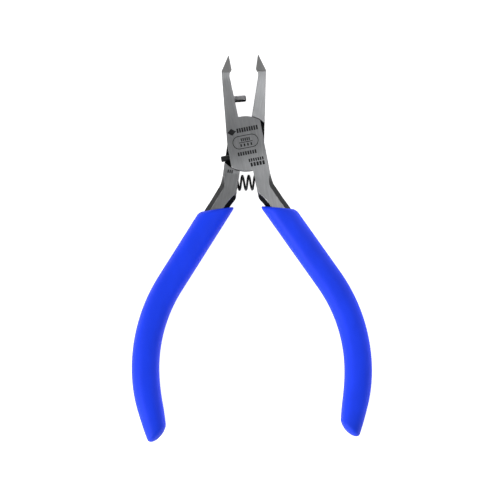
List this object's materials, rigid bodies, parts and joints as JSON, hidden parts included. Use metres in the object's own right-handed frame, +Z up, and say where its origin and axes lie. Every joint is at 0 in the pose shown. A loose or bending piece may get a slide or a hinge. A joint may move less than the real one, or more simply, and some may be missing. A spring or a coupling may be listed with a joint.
{
  "type": "sprue nippers",
  "caption": "Spring-opened flush-cutting sprue nippers with slim steel jaws, a lap joint and two curved handles in soft blue grips, lying flat and open.",
  "frame": {"origin": "on the surface that the grips lie on, under the middle of the open tool's length and width; the pivot axis is 30 mm from it towards the jaws", "axes": "+Y from the handles to the jaw tips, +Z up out of the front face of the tool as it lies, +X to the right seen from above with the jaws away"},
  "size_m": [0.0702, 0.1121, 0.0094],
  "materials": {
    "ground_steel": "fine ground carbon steel, satin, with blackened edges",
    "blackened_steel": "black oxide",
    "screw_steel": "dark turned steel",
    "spring_steel": "black spring wire",
    "blue_grip": "soft satin moulded sleeve"
  },
  "bodies": {
    "front_half": {"front_lever": "ground_steel", "grip_right": "blue_grip", "jaw_stop_screw": "screw_steel", "opening_stop_pin": "blackened_steel", "pivot_screw": "screw_steel", "return_spring": "spring_steel"},
    "rear_half": {"rear_lever": "ground_steel", "grip_left": "blue_grip"}
  },
  "joints": [
    {"name": "pivot", "type": "hinge", "parent": "front_half", "child": "rear_half", "pos_m": [0, 0.03, 0.0047], "axis": [0, 0, 1], "range_deg": [0, 17.9], "stiffness_Nm_per_rad": 0.3, "springref_deg": -20.05, "deforming": ["return_spring"]}
  ]
}
